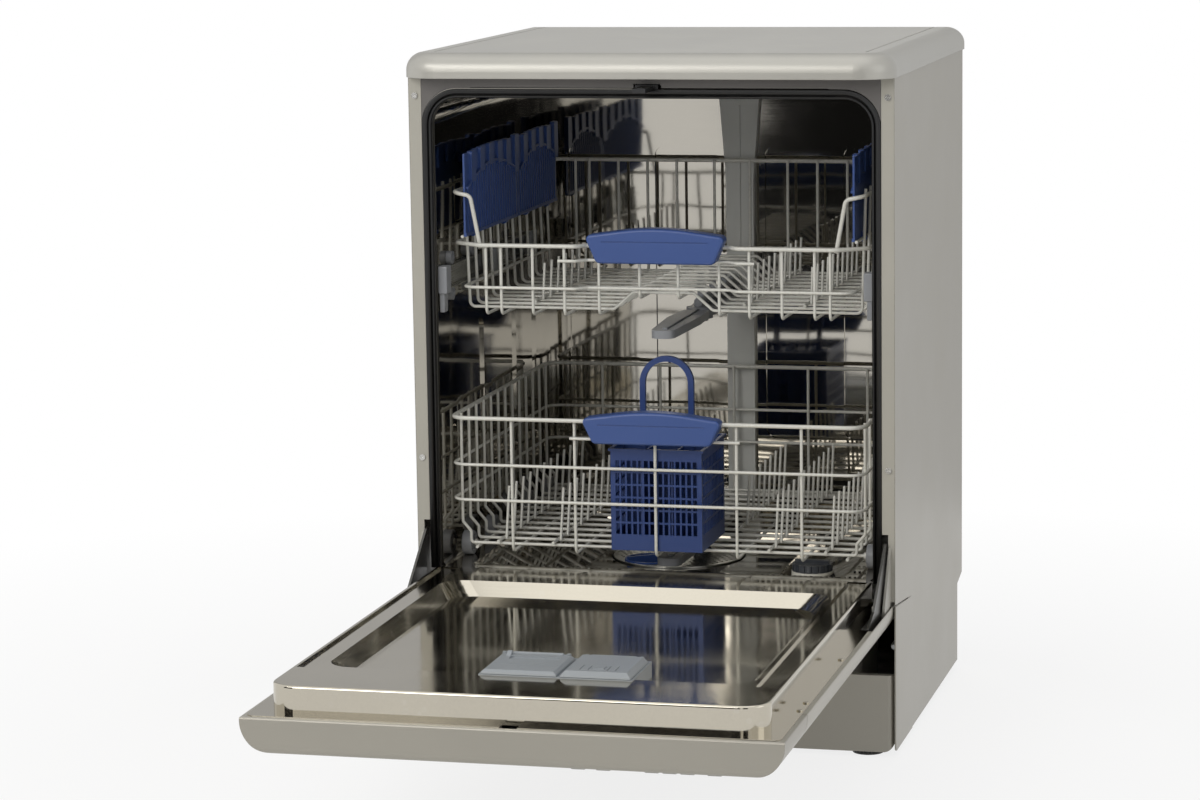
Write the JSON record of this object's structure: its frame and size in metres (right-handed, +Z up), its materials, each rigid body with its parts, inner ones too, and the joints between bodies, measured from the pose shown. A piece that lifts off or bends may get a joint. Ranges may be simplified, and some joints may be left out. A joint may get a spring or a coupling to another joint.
{
  "type": "dishwasher",
  "caption": "Full-size dishwasher with drop-down door, two sliding wire baskets, fold-down cup shelves, cutlery basket and spray arms.",
  "frame": {"origin": "middle of the footprint of the whole machine with its door open, at floor level", "axes": "+X to the right seen from the front, +Y from the open door toward the rear panel, +Z up"},
  "size_m": [0.6, 1.215, 0.85],
  "materials": {
    "silver_paint": "satin metallic silver-beige paint",
    "lacquered_board": "satin metallic silver-beige lacquer over board",
    "galvanised_steel": "galvanised",
    "upright_paint": "satin metallic silver-beige paint",
    "trim_grey": "satin",
    "black_plastic": "matt",
    "polished_steel": "polished",
    "gasket_rubber": "matt",
    "foot_plastic": "matt",
    "sump_plastic": "matt",
    "softener_plastic": "matt",
    "salt_cap_plastic": "satin",
    "filter_steel": "brushed",
    "grey_plastic": "satin",
    "blue_plastic": "satin",
    "white_coated_wire": "nylon coating",
    "rail_steel": "satin",
    "screw_steel": "bright",
    "dispenser_plastic": "satin",
    "board_green": "satin",
    "button_plastic": "satin"
  },
  "bodies": {
    "cabinet": {"worktop": "lacquered_board", "side_panel_left": "silver_paint", "side_panel_right": "silver_paint", "rear_panel": "galvanised_steel", "front_upright_left": "upright_paint", "front_upright_right": "upright_paint", "top_trim": "trim_grey", "door_catch": "black_plastic", "tub": "polished_steel", "tub_gasket": "gasket_rubber", "base_tray": "black_plastic", "plinth": "silver_paint", "door_springs": "galvanised_steel", "sump": "sump_plastic", "pumps": "sump_plastic", "water_softener": "softener_plastic", "inlet_valve": "softener_plastic", "mains_gland": "black_plastic", "filter_plate": "filter_steel", "water_duct": "grey_plastic", "wall_rollers": "grey_plastic", "cabinet_screws": "screw_steel"},
    "door": {"door_liner": "polished_steel", "door_outer_panel": "silver_paint", "control_fascia": "silver_paint", "hinge_arms": "galvanised_steel", "dispenser_body": "dispenser_plastic", "door_latch": "black_plastic", "control_board": "board_green"},
    "upper_rack": {"upper_basket": "white_coated_wire", "upper_basket_handle": "blue_plastic", "basket_rollers": "grey_plastic", "spray_feed_pipe": "grey_plastic"},
    "lower_rack": {"lower_basket": "white_coated_wire", "lower_basket_handle": "blue_plastic", "cutlery_basket": "blue_plastic"},
    "rails": {"slide_rails": "rail_steel", "rail_end_stops": "grey_plastic"},
    "upper_arm": {"upper_spray_arm": "grey_plastic"},
    "lower_arm": {"lower_spray_arm": "grey_plastic"},
    "shelves_left": {"cup_shelves_left": "blue_plastic"},
    "shelves_right": {"cup_shelves_right": "blue_plastic"},
    "detergent_lid_body": {"detergent_lid": "dispenser_plastic"},
    "rinse_cover_body": {"rinse_aid_cover": "dispenser_plastic"},
    "hook": {"latch_hook": "black_plastic"},
    "filter": {"filter_cup": "blue_plastic"},
    "salt_lid": {"salt_cap": "salt_cap_plastic"},
    "foot_fl": {"foot_front_left": "foot_plastic"},
    "foot_fr": {"foot_front_right": "foot_plastic"},
    "foot_re": {"feet_rear": "foot_plastic"},
    "key_power": {"button_power": "button_plastic"},
    "key_half_load": {"button_half_load": "button_plastic"},
    "key_delay": {"button_delay": "button_plastic"},
    "key_extra_dry": {"button_extra_dry": "button_plastic"},
    "key_options": {"button_options": "button_plastic"},
    "key_start": {"button_start": "button_plastic"},
    "wheels_1": {"basket_wheels_1": "grey_plastic"},
    "wheels_2": {"basket_wheels_2": "grey_plastic"},
    "wheels_3": {"basket_wheels_3": "grey_plastic"},
    "wheels_4": {"basket_wheels_4": "grey_plastic"}
  },
  "joints": [
    {"name": "door_hinge", "type": "hinge", "parent": "cabinet", "child": "door", "pos_m": [0, 0.0255, 0.183], "axis": [-1, 0, 0], "range_deg": [0, 90], "deforming": ["door_springs"]},
    {"name": "basket_lower_slide", "type": "slide", "parent": "cabinet", "child": "lower_rack", "axis": [0, 1, 0], "range_m": [-0.479, 0]},
    {"name": "basket_upper_slide", "type": "slide", "parent": "cabinet", "child": "upper_rack", "axis": [0, 1, 0], "range_m": [-0.268, 0]},
    {"name": "rails_slide", "type": "slide", "parent": "cabinet", "child": "rails", "axis": [0, 1, 0], "range_m": [-0.134, 0]},
    {"name": "wheels_1_roll", "type": "hinge", "parent": "lower_rack", "child": "wheels_1", "pos_m": [0, 0.1455, 0.2303], "axis": [1, 0, 0], "range_deg": [-10, 1850]},
    {"name": "wheels_2_roll", "type": "hinge", "parent": "lower_rack", "child": "wheels_2", "pos_m": [0, 0.2505, 0.2303], "axis": [1, 0, 0], "range_deg": [-10, 1850]},
    {"name": "wheels_3_roll", "type": "hinge", "parent": "lower_rack", "child": "wheels_3", "pos_m": [0, 0.4285, 0.2303], "axis": [1, 0, 0], "range_deg": [-10, 1850]},
    {"name": "wheels_4_roll", "type": "hinge", "parent": "lower_rack", "child": "wheels_4", "pos_m": [0, 0.5345, 0.2303], "axis": [1, 0, 0], "range_deg": [-10, 1850]},
    {"name": "shelf_right_fold", "type": "hinge", "parent": "upper_rack", "child": "shelves_right", "pos_m": [0.24496, 0.3115, 0.621], "axis": [0, -1, 0], "range_deg": [0, 90]},
    {"name": "shelf_left_fold", "type": "hinge", "parent": "upper_rack", "child": "shelves_left", "pos_m": [-0.24496, 0.3115, 0.621], "axis": [0, 1, 0], "range_deg": [0, 90]},
    {"name": "spray_arm_upper_spin", "type": "hinge", "parent": "upper_rack", "child": "upper_arm", "pos_m": [0, 0.3365, 0.501], "axis": [0, 0, 1], "continuous": true},
    {"name": "spray_arm_lower_spin", "type": "hinge", "parent": "cabinet", "child": "lower_arm", "pos_m": [0, 0.3365, 0.214], "axis": [0, 0, 1], "continuous": true},
    {"name": "detergent_lid_hinge", "type": "hinge", "parent": "door", "child": "detergent_lid_body", "pos_m": [0.0682, -0.4135, 0.2224], "axis": [-1, 0, 0], "range_deg": [0, 35]},
    {"name": "rinse_cover_hinge", "type": "hinge", "parent": "door", "child": "rinse_cover_body", "pos_m": [-0.0168, -0.4135, 0.2224], "axis": [-1, 0, 0], "range_deg": [0, 35]},
    {"name": "latch_hook_swing", "type": "hinge", "parent": "door", "child": "hook", "pos_m": [0, -0.5785, 0.181], "axis": [-1, 0, 0], "range_deg": [0, 38]},
    {"name": "filter_cup_turn", "type": "hinge", "parent": "cabinet", "child": "filter", "pos_m": [-0.055, 0.2765, 0.188], "axis": [0, 0, 1], "range_deg": [0, 45]},
    {"name": "salt_cap_turn", "type": "hinge", "parent": "cabinet", "child": "salt_lid", "pos_m": [0.18, 0.1515, 0.2093], "axis": [0, 0, 1], "range_deg": [0, 180]},
    {"name": "press_power", "type": "slide", "parent": "door", "child": "key_power", "axis": [0, 0, 1], "range_m": [0, 0.002], "stiffness_N_per_m": 300},
    {"name": "press_half_load", "type": "slide", "parent": "door", "child": "key_half_load", "axis": [0, 0, 1], "range_m": [0, 0.002], "stiffness_N_per_m": 300},
    {"name": "press_delay", "type": "slide", "parent": "door", "child": "key_delay", "axis": [0, 0, 1], "range_m": [0, 0.002], "stiffness_N_per_m": 300},
    {"name": "press_extra_dry", "type": "slide", "parent": "door", "child": "key_extra_dry", "axis": [0, 0, 1], "range_m": [0, 0.002], "stiffness_N_per_m": 300},
    {"name": "press_options", "type": "slide", "parent": "door", "child": "key_options", "axis": [0, 0, 1], "range_m": [0, 0.002], "stiffness_N_per_m": 300},
    {"name": "press_start", "type": "slide", "parent": "door", "child": "key_start", "axis": [0, 0, 1], "range_m": [0, 0.002], "stiffness_N_per_m": 300},
    {"name": "levelling_front_left", "type": "slide", "parent": "cabinet", "child": "foot_fl", "axis": [0, 0, -1], "range_m": [0, 0.02]},
    {"name": "levelling_front_right", "type": "slide", "parent": "cabinet", "child": "foot_fr", "axis": [0, 0, -1], "range_m": [0, 0.02]},
    {"name": "levelling_rear", "type": "slide", "parent": "cabinet", "child": "foot_re", "axis": [0, 0, -1], "range_m": [0, 0.02]}
  ],
  "couplings": [
    {"joint": "rails_slide", "follows": "basket_upper_slide", "ratio": 0.5},
    {"joint": "wheels_1_roll", "follows": "basket_lower_slide", "rad_per_m": -66.667},
    {"joint": "wheels_2_roll", "follows": "basket_lower_slide", "rad_per_m": -66.667},
    {"joint": "wheels_3_roll", "follows": "basket_lower_slide", "rad_per_m": -66.667},
    {"joint": "wheels_4_roll", "follows": "basket_lower_slide", "rad_per_m": -66.667}
  ]
}
